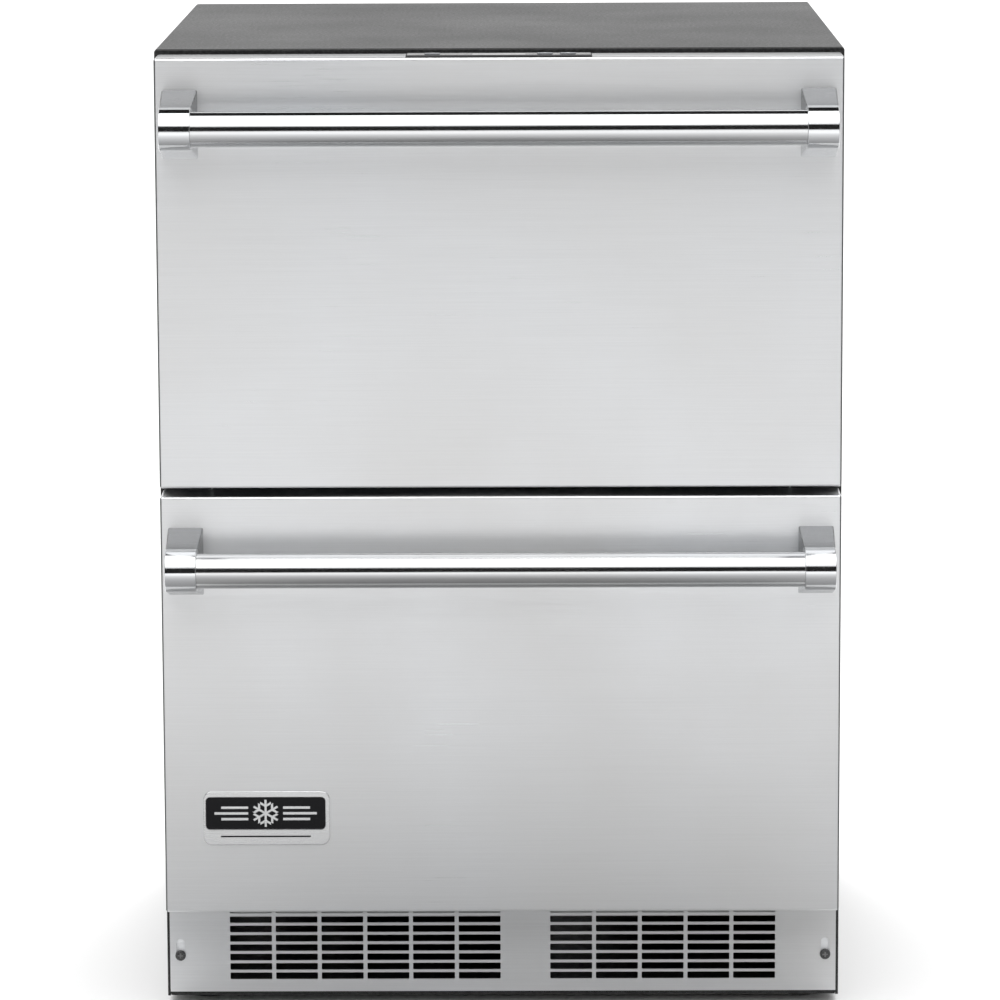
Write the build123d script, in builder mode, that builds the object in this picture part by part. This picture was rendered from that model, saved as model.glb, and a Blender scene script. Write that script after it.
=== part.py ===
from build123d import *
import os

# Under counter refrigerator with two drawers, in millimetres.
# +Z is up, -Y is the front, X = 0 is the middle of the width and Z = 0 is the floor.
# The origin is the middle of the footprint of everything, handles included.

# ---------------------------------------------------------------- driving dimensions
cabinet_width = 606
cabinet_depth = 560
cabinet_height = 864
base_z = 8  # underside of the base pan
sheet = 1.2  # outer sheet metal
thin_sheet = 1.0  # back and deck sheet

panel_width = 600  # drawer fronts
panel_depth = 42
panel_bend = 2.5
gasket_depth = 8
upper_front = (481.5, 860.0)  # height span of the upper drawer front
lower_front = (98.0, 474.0)

handle_drop = 57.5  # from the top of a drawer front to the bar's axis
bar_stand_off = 46  # from the drawer face to the bar's axis
bar_radius = 15.5
ferrule_radius = 18.5

cavity_half = 256  # inside of the liner
liner_wall = 2
cavity_floor = 120
cavity_roof = 818
step_roof = 232  # liner floor over the machine space
machine_roof = 194.5
deck_front_z = 79.5
machine_depth = 198

slide_length = 420
slide_height = 45
upper_slide_z = 560
lower_slide_z = 267
bin_wall = 3
bin_half = 243.3

grille_width = 601
grille_span = (11.7, 102.0)
grille_sheet = 1.6
slot_width = 37.8
slot_height = 6.2
slot_pitch_x = 41.3
slot_pitch_z = 8.72
slot_rows = 8
slot_first_row = 26.2  # middle of the lowest row
screw_x = 291
screw_z = 45.5

foot_x = 270
stud_radius = 5
thread_clearance = 0.05

# ---------------------------------------------------------------- derived places
total_depth = cabinet_depth + gasket_depth + panel_depth + bar_stand_off + ferrule_radius
back_y = total_depth / 2
front_y = back_y - cabinet_depth  # cabinet face
panel_back_y = front_y - gasket_depth
face_y = panel_back_y - panel_depth  # drawer faces
bar_y = face_y - bar_stand_off
half_width = cabinet_width / 2
inside_half = half_width - sheet  # inside of the wrapper
hem_depth = 10
hem_side = 2.5
hem_top = 4
frame_half = half_width - hem_side
frame_back_y = front_y + hem_depth
cavity_back_y = back_y - 46.25
step_y = back_y - machine_depth - 39  # front wall of the liner's step
machine_y = back_y - machine_depth  # front wall of the machine space
grille_back_y = back_y - 8
bead_places = (427, 627)  # heights of the rear panel's beads
bead_run = 430
bead_height = 14
bead_depth = 1.5
mullion_span = (452.75, 502.75)
slide_start_y = front_y + 5
foot_y = (front_y + 45, back_y - 40)
floor_top = base_z + 1.5
fan_axis_y = machine_y + machine_depth / 2

os.makedirs("parts", exist_ok=True)


# ---------------------------------------------------------------- helpers
def facing_front(y):
    """Sketch plane at depth y: sketch X is +X, sketch Y is +Z, the normal is -Y."""
    return Plane.XZ.offset(-y)


def facing_side(x):
    """Sketch plane at width x: sketch X is +Y, sketch Y is +Z, the normal is +X."""
    return Plane.YZ.offset(x)


def middle(span):
    return (span[0] + span[1]) / 2


def size(span):
    return span[1] - span[0]


def rectangle(x, y, mode=Mode.ADD):
    """Rectangle between (low, high) limits, in the sketch being drawn."""
    with Locations((middle(x), middle(y))):
        Rectangle(size(x), size(y), mode=mode)


def rounded(x, y, radius, mode=Mode.ADD):
    """Round-cornered rectangle between (low, high) limits, in the sketch being drawn."""
    with Locations((middle(x), middle(y))):
        RectangleRounded(size(x), size(y), radius, mode=mode)


def block(x, y, z, mode=Mode.ADD):
    """Box between (low, high) limits on each axis, in the part being built."""
    with Locations((middle(x), middle(y), middle(z))):
        Box(size(x), size(y), size(z), mode=mode)


def both_sides(half):
    return (-half, half)


def save(piece, name):
    piece.part.label = name
    export_step(piece.part, f"parts/{name}.step")


# ---------------------------------------------------------------- cabinet shell
with BuildPart() as cabinet_wrapper:
    # inverted U: a hem at the front, thinner sheet behind it
    for plane_y, length, side_wall, top_wall in (
        (front_y, hem_depth, hem_side, hem_top),
        (frame_back_y, cabinet_depth - hem_depth, sheet, sheet),
    ):
        with BuildSketch(facing_front(plane_y)) as outline:
            rectangle(both_sides(half_width), (base_z, cabinet_height))
            fillet(outline.vertices().group_by(Axis.Y)[-1], radius=3)
            rectangle(
                both_sides(half_width - side_wall), (base_z, cabinet_height - top_wall), Mode.SUBTRACT
            )
        extrude(amount=-length)
    front_top_edge = cabinet_wrapper.edges().filter_by(Axis.X).group_by(Axis.Z)[-1].sort_by(Axis.Y)[0]
    fillet(front_top_edge, radius=1.5)
save(cabinet_wrapper, "cabinet_wrapper")

with BuildPart() as rear_panel:
    block(
        both_sides(inside_half),
        (back_y - thin_sheet, back_y),
        (machine_roof, cabinet_height - sheet),
    )
    # two stiffening beads pressed inwards: a rib inside, a groove outside
    for start_y, across, mode in (
        (back_y - thin_sheet - bead_depth, bead_height, Mode.ADD),
        (back_y - bead_depth, bead_height - 3, Mode.SUBTRACT),
    ):
        with BuildSketch(facing_front(start_y)):
            with Locations(*[(0, bead_z) for bead_z in bead_places]):
                SlotOverall(bead_run + across, across)
        extrude(amount=-bead_depth, mode=mode)
save(rear_panel, "rear_panel")

with BuildPart() as inner_liner:
    # side outline of the moulding, with the step that clears the machine space
    outline = [
        (front_y, cavity_floor),
        (step_y, cavity_floor),
        (step_y, step_roof),
        (cavity_back_y, step_roof),
        (cavity_back_y, cavity_roof),
        (front_y, cavity_roof),
    ]
    with BuildSketch(facing_side(-cavity_half - liner_wall)):
        Polygon(*outline, align=None)
        offset(amount=liner_wall, kind=Kind.INTERSECTION)
    extrude(amount=2 * (cavity_half + liner_wall))
    with BuildSketch(facing_side(-cavity_half)):
        Polygon(*outline, align=None)
    extrude(amount=2 * cavity_half, mode=Mode.SUBTRACT)
    block((-300, 300), (front_y - 10, front_y), (100, 840), Mode.SUBTRACT)
    # drip trough ledge moulded under the cold coil
    block((-180, 180), (cavity_back_y - 60, cavity_back_y), (step_roof, step_roof + 6))
    block((-176, 176), (cavity_back_y - 56, cavity_back_y - 3), (step_roof + 2, step_roof + 6), Mode.SUBTRACT)
save(inner_liner, "inner_liner")

with BuildPart() as compartment_deck:
    deck_half = inside_half - 0.3
    block(both_sides(deck_half), (frame_back_y, machine_y), (deck_front_z - thin_sheet, deck_front_z))
    block(
        both_sides(deck_half),
        (machine_y - thin_sheet, machine_y),
        (deck_front_z, machine_roof),
    )
    block(
        both_sides(deck_half),
        (machine_y - thin_sheet, back_y - thin_sheet),
        (machine_roof - thin_sheet, machine_roof),
    )
    # front lip that closes the foam behind the kick plate
    block(both_sides(deck_half), (frame_back_y, frame_back_y + thin_sheet), (deck_front_z, 104))
save(compartment_deck, "compartment_deck")

with BuildPart() as foam_insulation:
    block(both_sides(inside_half), (frame_back_y, back_y - thin_sheet), (deck_front_z, cabinet_height - sheet))
    # room for the machine space and the deck's front lip
    block((-310, 310), (machine_y - thin_sheet, back_y), (0, machine_roof), Mode.SUBTRACT)
    block((-310, 310), (frame_back_y, frame_back_y + thin_sheet), (0, 104), Mode.SUBTRACT)
    # room for the liner
    block(
        both_sides(cavity_half + liner_wall),
        (frame_back_y, step_y + liner_wall),
        (cavity_floor - liner_wall, cavity_roof + liner_wall),
        Mode.SUBTRACT,
    )
    block(
        both_sides(cavity_half + liner_wall),
        (frame_back_y, cavity_back_y + liner_wall),
        (step_roof - liner_wall, cavity_roof + liner_wall),
        Mode.SUBTRACT,
    )
    # grooves that the rear panel's beads press into
    for bead_z in bead_places:
        groove_z = (bead_z - bead_height / 2 - 0.5, bead_z + bead_height / 2 + 0.5)
        block(both_sides(bead_run / 2 + 10), (back_y - 3, back_y), groove_z, Mode.SUBTRACT)
save(foam_insulation, "foam_insulation")

with BuildPart() as front_frame:
    with BuildSketch(facing_front(front_y)):
        rectangle(both_sides(frame_half), (104, cabinet_height - hem_top))
        rectangle(
            both_sides(cavity_half + liner_wall),
            (cavity_floor - liner_wall, cavity_roof + liner_wall),
            Mode.SUBTRACT,
        )
    extrude(amount=-hem_depth)
save(front_frame, "front_frame")

with BuildPart() as centre_mullion:
    block(both_sides(cavity_half), (front_y, front_y + 50), mullion_span)
    rear_edges = centre_mullion.edges().filter_by(Axis.X).group_by(Axis.Y)[-1]
    fillet(rear_edges, radius=6)
save(centre_mullion, "centre_mullion")

# ---------------------------------------------------------------- base, kick plate and feet
tab_y = front_y + grille_sheet + 0.1
tab_sheet = 1.5
foot_places = [(x, y) for y in foot_y for x in (-foot_x, foot_x)]

with BuildPart() as base_pan:
    block(both_sides(inside_half), (front_y + 14, grille_back_y), (base_z, floor_top))
    for side in (-1, 1):
        flange = sorted((side * (inside_half - tab_sheet), side * inside_half))
        tab_web = sorted((side * (frame_half - tab_sheet), side * frame_half))
        tab = sorted((side * (frame_half - 25), side * frame_half))
        block(flange, (front_y + 14, grille_back_y), (floor_top, 40))
        block(tab_web, (tab_y, front_y + 40), (20, 76))
        block(tab, (tab_y, tab_y + tab_sheet), (20, 76))
    block(both_sides(inside_half), (front_y + 14, front_y + 15.5), (floor_top, 18))
    block(both_sides(inside_half), (grille_back_y - tab_sheet, grille_back_y), (floor_top, 25))
    with BuildSketch(Plane.XY.offset(floor_top)):
        with Locations(*foot_places):
            Circle(10)
    extrude(amount=16)
    with BuildSketch(Plane.XY.offset(base_z)):
        with Locations(*foot_places):
            Circle(stud_radius + thread_clearance)
    extrude(amount=20, mode=Mode.SUBTRACT)
    with BuildSketch(facing_front(tab_y)):
        with Locations((-screw_x, screw_z), (screw_x, screw_z)):
            Circle(2.5)
    extrude(amount=-tab_sheet, mode=Mode.SUBTRACT)
save(base_pan, "base_pan")

with BuildPart() as grille_screws:
    # pan heads in front of the kick plate, shanks through its slots into the base tabs
    with BuildSketch(facing_front(front_y - 0.05)):
        with Locations((-screw_x, screw_z), (screw_x, screw_z)):
            Circle(4.75)
    extrude(amount=2.9)
    fillet(grille_screws.edges().group_by(Axis.Y)[0], radius=1.6)
    with BuildSketch(facing_front(front_y - 0.05)):
        with Locations((-screw_x, screw_z), (screw_x, screw_z)):
            Circle(2.5)
    extrude(amount=-12)
    # cross recess
    with BuildSketch(facing_front(front_y - 3.2)):
        with Locations((-screw_x, screw_z), (screw_x, screw_z)):
            Rectangle(4.6, 1.1)
            Rectangle(1.1, 4.6)
    extrude(amount=-1.7, mode=Mode.SUBTRACT)
save(grille_screws, "grille_screws")

with BuildPart() as toe_grille:
    block(both_sides(grille_width / 2), (front_y, front_y + grille_sheet), grille_span)
    block(
        both_sides(grille_width / 2 - 20),
        (front_y, front_y + 8),
        (grille_span[1] - grille_sheet, grille_span[1]),
    )
    rows_z = slot_first_row + (slot_rows - 1) * slot_pitch_z / 2
    slot_start = -246.2 + slot_width / 2
    with BuildSketch(facing_front(front_y - 1)):
        for first, count in ((0, 6), (7, 5)):
            group_x = slot_start + (first + (count - 1) / 2) * slot_pitch_x
            with Locations((group_x, rows_z)):
                with GridLocations(slot_pitch_x, slot_pitch_z, count, slot_rows):
                    RectangleRounded(slot_width, slot_height, 0.8)
        # upright slots for the two fixing screws
        for side in (-1, 1):
            with Locations((side * screw_x, (screw_z - 4.6 + 60.6) / 2)):
                SlotOverall(60.6 - screw_z + 4.6, 7.4, rotation=90)
    extrude(amount=-grille_sheet - 2, mode=Mode.SUBTRACT)
save(toe_grille, "toe_grille")

with BuildPart() as base_rail:
    # black channel behind the kick plate's lower edge, on the base pan's front flange
    rail_half = frame_half - 0.4
    rail_y = (front_y + grille_sheet + 0.2, front_y + 14)
    block(both_sides(rail_half), rail_y, (base_z, floor_top))
    block(both_sides(rail_half), (rail_y[0], rail_y[0] + tab_sheet), (floor_top, 19))
    block(both_sides(rail_half), (rail_y[1] - tab_sheet, rail_y[1]), (floor_top, 18))
save(base_rail, "base_rail")

foot_names = ("front_left", "front_right", "rear_left", "rear_right")
for foot_name, (x, y) in zip(foot_names, foot_places):
    with BuildPart() as foot_pad:
        with BuildSketch(Plane.XY):
            with Locations((x, y)):
                Circle(18)
        extrude(amount=4.5)
        fillet(foot_pad.edges().group_by(Axis.Z)[-1], radius=1.5)
        with BuildSketch(Plane.XY.offset(1.5)):
            with Locations((x, y)):
                Circle(4 + thread_clearance)
        extrude(amount=3, mode=Mode.SUBTRACT)
    save(foot_pad, f"foot_pad_{foot_name}")

    with BuildPart() as leveling_stud:
        with BuildSketch(Plane.XY.offset(1.6)):
            with Locations((x, y)):
                Circle(4)
        extrude(amount=3)
        with BuildSketch(Plane.XY.offset(4.6)):
            with Locations((x, y)):
                RegularPolygon(8.5, 6)
        extrude(amount=3)
        with BuildSketch(Plane.XY.offset(7.6)):
            with Locations((x, y)):
                Circle(stud_radius)
        extrude(amount=37)
        chamfer(leveling_stud.edges().group_by(Axis.Z)[-1], length=1)
    save(leveling_stud, f"leveling_stud_{foot_name}")

# ---------------------------------------------------------------- machine space
with BuildPart() as rear_grille:
    block(both_sides(inside_half), (grille_back_y, grille_back_y + 1), (base_z, machine_roof - thin_sheet))
    with BuildSketch(facing_front(grille_back_y)):
        for group_x in (-150, 110):
            with Locations((group_x, 100)):
                with GridLocations(26, 12, 9, 10):
                    SlotOverall(20, 4)
        with Locations((-262, 45)):
            Circle(8.05)
    extrude(amount=-1, mode=Mode.SUBTRACT)
save(rear_grille, "rear_grille")

with BuildPart() as cord_gland:
    # flanged bush where the mains lead would leave the cabinet
    with BuildSketch(facing_front(grille_back_y + 1)):
        with Locations((-262, 45)):
            Circle(11)
            Circle(4, mode=Mode.SUBTRACT)
    extrude(amount=-5)
    with BuildSketch(facing_front(grille_back_y + 1)):
        with Locations((-262, 45)):
            Circle(8)
            Circle(4, mode=Mode.SUBTRACT)
    extrude(amount=10)
    fillet(cord_gland.edges().group_by(Axis.Y)[-1], radius=1.2)
save(cord_gland, "cord_gland")

compressor_x = 165
compressor_y = fan_axis_y - 2
shell_base_z = 24
shell_radius = 72
shell_height = 146

with BuildPart() as compressor:
    # sealed shell in two drawn halves, on a pressed foot plate
    with BuildSketch(Plane.XY.offset(shell_base_z)):
        with Locations((compressor_x, compressor_y)):
            Circle(shell_radius)
    extrude(amount=shell_height)
    fillet(compressor.edges().group_by(Axis.Z)[0], radius=26)
    fillet(compressor.edges().group_by(Axis.Z)[-1], radius=30)
    with BuildSketch(Plane.XY.offset(shell_base_z + 78)):
        with Locations((compressor_x, compressor_y)):
            Circle(shell_radius + 4)
    extrude(amount=4)
    with BuildSketch(Plane.XY.offset(shell_base_z)):
        with Locations((compressor_x, compressor_y)):
            RectangleRounded(196, 118, 14)
    extrude(amount=2.5)
    with BuildSketch(Plane.XY.offset(shell_base_z)):
        with Locations((compressor_x, compressor_y)):
            with GridLocations(168, 90, 2, 2):
                Circle(8.05)
    extrude(amount=2.5, mode=Mode.SUBTRACT)
    # terminal cover on the side that faces the fan
    block(
        (compressor_x - shell_radius - 16, compressor_x - shell_radius + 6),
        (compressor_y - 24, compressor_y + 24),
        (shell_base_z + 40, shell_base_z + 74),
    )
save(compressor, "compressor")

with BuildPart() as compressor_grommets:
    with BuildSketch(Plane.XY.offset(floor_top)):
        with Locations((compressor_x, compressor_y)):
            with GridLocations(168, 90, 2, 2):
                Circle(11)
    extrude(amount=shell_base_z - floor_top)
    with BuildSketch(Plane.XY.offset(shell_base_z)):
        with Locations((compressor_x, compressor_y)):
            with GridLocations(168, 90, 2, 2):
                Circle(8)
    extrude(amount=5)
save(compressor_grommets, "compressor_grommets")


def finned_coil(x_span, y_span, z_span, axis, fin_pitch, rows, plate_across, plate_z):
    """Fin pack with a serpentine of tubes along the given axis ('X' or 'Y') and two end plates."""
    tube_radius = 4
    overhang = 3
    along, across = (x_span, y_span) if axis == "X" else (y_span, x_span)
    fin_count = int(size(along) / fin_pitch)
    first_fin = middle(along) - (fin_count - 1) * fin_pitch / 2
    row_pitch = size(z_span) / rows
    heights = [z_span[0] + (row + 0.5) * row_pitch for row in range(rows)]

    def place(distance, sideways, z):
        return (distance, sideways, z) if axis == "X" else (sideways, distance, z)

    def section(distance):
        """Sketch plane across the tubes, with sketch Y up and the normal along the tubes."""
        if axis == "X":
            return facing_side(distance)
        return Plane(origin=(0, distance, 0), x_dir=(1, 0, 0), z_dir=(0, -1, 0))

    forward = 1 if axis == "X" else -1
    with BuildPart() as coil:
        fin_places = [first_fin + fin * fin_pitch for fin in range(fin_count)]
        with Locations(*[place(spot, middle(across), middle(z_span)) for spot in fin_places]):
            Box(*place(0.8, size(across), size(z_span)))
        for end in (along[0] - 1.5, along[1] + 1.5):
            with Locations(place(end, middle(plate_across), middle(plate_z))):
                Box(*place(1.5, size(plate_across), size(plate_z)))
        with BuildSketch(section(along[0] - overhang)):
            with Locations(*[(middle(across), z) for z in heights]):
                Circle(tube_radius)
        extrude(amount=forward * (size(along) + 2 * overhang))
        # return bends join the tubes in turn, at one end and then the other
        for row in range(rows - 1):
            high_end = row % 2
            end = along[high_end] + (overhang if high_end else -overhang)
            with BuildSketch(section(end)):
                with Locations((middle(across), heights[row])):
                    Circle(tube_radius)
            turn = 1 if high_end else -1
            bend_line = (0, -1, 0) if axis == "X" else (1, 0, 0)
            centre = place(end, middle(across), heights[row] + row_pitch / 2)
            revolve(axis=Axis(centre, bend_line), revolution_arc=180 * turn)
    return coil


condenser_x = (-215, -175)
condenser_y = (machine_y + 20, grille_back_y - 30)
condenser = finned_coil(condenser_x, condenser_y, (32, 182), "Y", 7, 6, condenser_x, (floor_top, 184))
save(condenser, "condenser_coil")

shroud_x = -160
fan_z = 106
fan_radius = 60
bracket_x = shroud_x + 40

with BuildPart() as condenser_shroud:
    block((shroud_x, shroud_x + 1.5), (machine_y + 2, grille_back_y - 2), (floor_top, machine_roof - 2))
    # notch that lets the discharge line past
    block((shroud_x - 1, shroud_x + 2), (300, grille_back_y), (160, machine_roof), Mode.SUBTRACT)
    # baffle that parts the intake side from the outlet side under the deck
    with BuildSketch(Plane.XY.offset(floor_top)):
        with BuildLine():
            Polyline((shroud_x + 0.75, machine_y + 2), (20, machine_y - 90), (20, front_y + 18))
        trace(line_width=1.5)
    extrude(amount=deck_front_z - thin_sheet - floor_top - 0.5)
    with BuildSketch(facing_side(shroud_x)):
        with Locations((fan_axis_y, fan_z)):
            Circle(fan_radius + 7)
    extrude(amount=16)
    with BuildSketch(facing_side(shroud_x)):
        with Locations((fan_axis_y, fan_z)):
            Circle(fan_radius + 4)
    extrude(amount=16, mode=Mode.SUBTRACT)
    # three-arm bracket that carries the motor behind the blade
    with BuildSketch(facing_side(bracket_x)):
        with Locations((fan_axis_y, fan_z)):
            Circle(24)
            with PolarLocations(45, 3, start_angle=90):
                Rectangle(51, 9)
            Circle(4.5, mode=Mode.SUBTRACT)
    extrude(amount=1.5)
    with BuildSketch(facing_side(shroud_x + 1)):
        with Locations((fan_axis_y, fan_z)):
            with PolarLocations(fan_radius + 8, 3, start_angle=90):
                Rectangle(5, 9)
    extrude(amount=bracket_x - shroud_x)
save(condenser_shroud, "condenser_shroud")


def fan_motor(front_plane, radius, length, bore, bracket=None):
    """Motor can behind front_plane, with a blind bore in its front face for the blade's shaft."""
    with BuildPart() as motor:
        with BuildSketch(front_plane):
            Circle(radius)
        extrude(amount=length)
        fillet(motor.edges().filter_by(GeomType.CIRCLE), radius=1.5)
        with BuildSketch(front_plane):
            Circle(bore + thread_clearance)
        extrude(amount=12, mode=Mode.SUBTRACT)
        if bracket:
            half_length, foot_y_end = bracket
            back = front_plane.origin.Y + length
            z_span = (front_plane.origin.Z - 10, front_plane.origin.Z + 10)
            block(both_sides(half_length), (back - 1, back + 1), z_span)
            block((-half_length, 2 - half_length), (back + 1, foot_y_end), z_span)
            block((half_length - 2, half_length), (back + 1, foot_y_end), z_span)
    return motor


def fan_blade(hub_plane, radius, hub_radius, hub_length, blade_count, pitch, shaft_length):
    """Hub with pitched blades on hub_plane, and the shaft that runs in the motor's bore."""
    with BuildPart(hub_plane) as blade:
        Cylinder(hub_radius, hub_length)
        fillet(blade.edges().filter_by(GeomType.CIRCLE), radius=1.5)
        reach = radius - hub_radius + 3
        with PolarLocations(hub_radius - 3 + reach / 2, blade_count):
            Box(reach, radius * 0.55, 1.6, rotation=(pitch, 0, 0))
        with Locations((0, 0, (hub_length + shaft_length) / 2)):
            Cylinder(shaft_radius, shaft_length)
    return blade


shaft_radius = 3
hub_length = 14
motor_bore = 12
motor_front = Plane(origin=(bracket_x + 1.5, fan_axis_y, fan_z), x_dir=(0, 1, 0), z_dir=(1, 0, 0))
condenser_motor = fan_motor(motor_front, 26, 38, shaft_radius)
save(condenser_motor, "condenser_fan_motor")

hub_plane = Plane(origin=(shroud_x + 22, fan_axis_y, fan_z), x_dir=(0, 1, 0), z_dir=(1, 0, 0))
shaft_length = bracket_x + 1.5 - (shroud_x + 22 + hub_length / 2) + motor_bore - 1
condenser_blade = fan_blade(hub_plane, fan_radius, 18, hub_length, 5, 28, shaft_length)
save(condenser_blade, "condenser_fan_blade")

with BuildPart() as drain_pan:
    with BuildSketch(Plane.XY.offset(floor_top)):
        rounded((-62, 52), (machine_y + 14, grille_back_y - 14), 8)
    extrude(amount=34)
    offset(amount=-1.8, openings=drain_pan.faces().sort_by(Axis.Z)[-1])
save(drain_pan, "drain_pan")


def copper_tube(points, bends, radius):
    """Round tube along straight runs joined by arcs, in the part being built."""
    with BuildLine() as path:
        FilletPolyline(*points, radius=bends)
    with BuildSketch(Plane(origin=path.line @ 0, z_dir=path.line % 0)) as section:
        Circle(radius)
    sweep(section.sketch, path=path.line)


compressor_top = shell_base_z + shell_height
deck_under = machine_roof - thin_sheet
coil_end_y = condenser_y[1] + 3
drier = (-230, 316)

with BuildPart() as refrigerant_tubes:
    # discharge line, from the compressor's top to the condenser's top tube
    copper_tube(
        (
            (compressor_x - 30, compressor_y - 20, compressor_top),
            (compressor_x - 30, compressor_y - 20, 184),
            (60, drier[1], 184),
            (-195, drier[1], 184),
            (-195, drier[1], 169.5),
            (-195, coil_end_y, 169.5),
        ),
        (5, 14, 5, 5),
        3,
    )
    # suction line, from the insulation down to the compressor
    copper_tube(
        (
            (205, 300, deck_under),
            (205, 300, 182),
            (compressor_x + 30, compressor_y + 20, 182),
            (compressor_x + 30, compressor_y + 20, compressor_top),
        ),
        (5, 5),
        4,
    )
    # liquid line, from the condenser's lowest tube to the filter drier
    copper_tube(
        (
            (-195, coil_end_y, 44.5),
            (-195, drier[1], 44.5),
            (drier[0], drier[1], 44.5),
            (drier[0], drier[1], 90),
        ),
        (5, 5),
        3,
    )
    with BuildSketch(Plane.XY.offset(90)):
        with Locations(drier):
            Circle(10)
    extrude(amount=60)
    # capillary, from the drier up into the insulation
    copper_tube(
        (
            (drier[0], drier[1], 150),
            (drier[0], drier[1], 168),
            (drier[0] - 14, drier[1] - 14, 178),
            (drier[0] - 14, drier[1] - 14, deck_under),
        ),
        (4, 4),
        1.5,
    )
save(refrigerant_tubes, "refrigerant_tubes")

# ---------------------------------------------------------------- cold air
evaporator = finned_coil(
    (-170, 170), (243, 283), (560, 760), "X", 9, 8, (243, cavity_back_y), (560, 760)
)
save(evaporator, "evaporator")

cover_y = 224
cover_wall = 2.5
cold_fan_z = 400
cold_fan_radius = 42

with BuildPart() as evaporator_cover:
    block((-200, 200), (cover_y, cavity_back_y), (240, 800))
    block(
        both_sides(200 - cover_wall),
        (cover_y + cover_wall, cavity_back_y),
        (240 + cover_wall, 800 - cover_wall),
        Mode.SUBTRACT,
    )
    with BuildSketch(facing_front(cover_y)):
        # round outlet made of level slots
        for step in range(-4, 5):
            rise = step * 9
            half_chord = (cold_fan_radius**2 - rise**2) ** 0.5
            with Locations((0, cold_fan_z + rise)):
                SlotOverall(2 * half_chord, 4.5)
        for return_z in (278, 765):
            with Locations((0, return_z)):
                with GridLocations(62, 11, 5, 3):
                    SlotOverall(50, 4.5)
    extrude(amount=-cover_wall, mode=Mode.SUBTRACT)
save(evaporator_cover, "evaporator_cover")

cold_motor_y = 254
motor_front = Plane(origin=(0, cold_motor_y, cold_fan_z), x_dir=(1, 0, 0), z_dir=(0, 1, 0))
cold_motor = fan_motor(motor_front, 22, 30, shaft_radius, (60, cavity_back_y))
save(cold_motor, "evaporator_fan_motor")

hub_plane = Plane(origin=(0, 240, cold_fan_z), x_dir=(1, 0, 0), z_dir=(0, 1, 0))
shaft_length = cold_motor_y - (240 + hub_length / 2) + motor_bore - 1
cold_blade = fan_blade(hub_plane, cold_fan_radius, 13, hub_length, 7, 26, shaft_length)
save(cold_blade, "evaporator_fan_blade")

with BuildPart() as led_light:
    block((-120, 120), (front_y + 14, front_y + 34), (cavity_roof - 6, cavity_roof))
    fillet(led_light.edges().group_by(Axis.Z)[0], radius=2)
save(led_light, "led_light")


# ---------------------------------------------------------------- drawer slides
def slide_member(web, lips, lip_top, centre_z):
    """Channel along the slide's length, on both sides: an upright web and a lip at each end of it."""
    with BuildPart() as member:
        with BuildSketch(facing_front(slide_start_y)):
            rectangle(web, (centre_z - lip_top, centre_z + lip_top))
            rectangle(lips, (centre_z + lip_top - 1.5, centre_z + lip_top))
            rectangle(lips, (centre_z - lip_top, centre_z - lip_top + 1.5))
        extrude(amount=-slide_length)
        mirror(about=Plane.YZ)
    return member


slides = {
    "outer": ((254.5, 256), (247, 256), slide_height / 2),
    "middle": ((249, 250.5), (245.5, 253.5), slide_height / 2 - 2.1),
    "inner": ((bin_half, bin_half + 1.5), (bin_half, 248.5), slide_height / 2 - 4.1),
}
for drawer, centre_z in (("upper", upper_slide_z), ("lower", lower_slide_z)):
    for member_name, (web, lips, lip_top) in slides.items():
        save(slide_member(web, lips, lip_top, centre_z), f"{drawer}_{member_name}_slides")


# ---------------------------------------------------------------- drawer fronts
strip_half = 81
strip_y = (face_y + 1.5, face_y + 25.5)
strip_top = upper_front[1] + 2
pocket_half = strip_half - 3
pocket_y = (strip_y[0] + 3, strip_y[1] - 3)
pocket_floor = upper_front[1] - 14


def strip_pocket(margin):
    """Opening in the top of the upper front for the control strip's body."""
    block(
        both_sides(pocket_half + margin),
        (pocket_y[0] - margin, pocket_y[1] + margin),
        (pocket_floor - margin, upper_front[1] + 1),
        Mode.SUBTRACT,
    )


def front_skin(span, has_strip):
    """Stainless tray with its bends to the front, open at the back."""
    with BuildPart() as skin:
        block(both_sides(panel_width / 2), (face_y, panel_back_y), span)
        corners = skin.edges().filter_by(Axis.Y)
        rim = skin.edges().group_by(Axis.Y)[0]
        fillet(corners + rim, radius=panel_bend)
        offset(amount=-sheet, openings=skin.faces().sort_by(Axis.Y)[-1])
        if has_strip:
            strip_pocket(0.2)
    return skin


def front_liner(span, plug):
    """Inner door panel that closes the tray, with a raised plug for the cavity's mouth."""
    inner = panel_bend - sheet + 0.2
    with BuildPart() as liner:
        with BuildSketch(facing_front(panel_back_y)):
            rounded(
                both_sides(panel_width / 2 - sheet), (span[0] + sheet, span[1] - sheet), inner
            )
        extrude(amount=2)
        block(both_sides(plug_half), (panel_back_y, plug_y), plug)
        fillet(liner.edges().group_by(Axis.Y)[-1], radius=4)
        block(
            both_sides(plug_half - 2),
            (panel_back_y - 2, plug_y - 2),
            (plug[0] + 2, plug[1] - 2),
            Mode.SUBTRACT,
        )
    return liner


def front_foam(span, plug, has_strip):
    """Foam between the tray and the inner panel."""
    with BuildPart() as foam:
        block(
            both_sides(panel_width / 2 - sheet),
            (face_y + sheet, panel_back_y - 2),
            (span[0] + sheet, span[1] - sheet),
        )
        corners = foam.edges().filter_by(Axis.Y)
        rim = foam.edges().group_by(Axis.Y)[0]
        fillet(corners + rim, radius=panel_bend - sheet + 0.2)
        block(
            both_sides(plug_half - 2),
            (panel_back_y - 3, plug_y - 2),
            (plug[0] + 2, plug[1] - 2),
        )
        if has_strip:
            strip_pocket(1)
    return foam


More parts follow.
